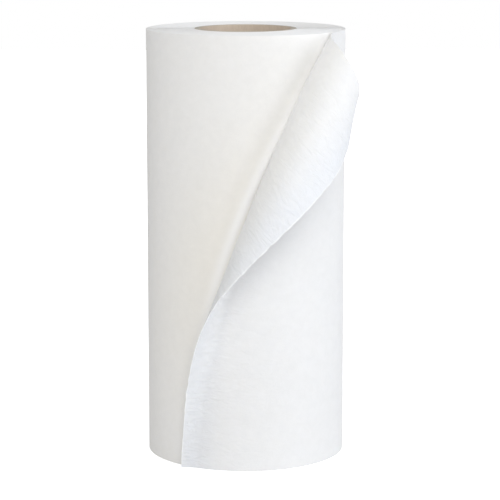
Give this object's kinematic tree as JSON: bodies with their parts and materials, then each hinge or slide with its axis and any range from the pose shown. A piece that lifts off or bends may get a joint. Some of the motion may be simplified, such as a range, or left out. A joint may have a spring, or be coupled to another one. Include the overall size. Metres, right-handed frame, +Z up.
{
  "type": "nonwoven wipe roll",
  "caption": "Upright roll of white nonwoven wiping web on a paperboard core, its loose outer end lifted at the top corner and rolled over to the side.",
  "frame": {"origin": "on the core bore's axis, in the plane of the roll's lower end", "axes": "+Z up along the core bore, out of the upper end; the front, where the loose end of the web shows, faces -Y; +X to the right seen from the front"},
  "size_m": [0.1736, 0.1969, 0.356],
  "materials": {
    "core_board": "matt tan spiral-wound paperboard",
    "nonwoven_web": "soft matt off-white fibrous web"
  },
  "bodies": {
    "root": {"core_tube": "core_board", "wound_web": "nonwoven_web"}
  },
  "joints": []
}
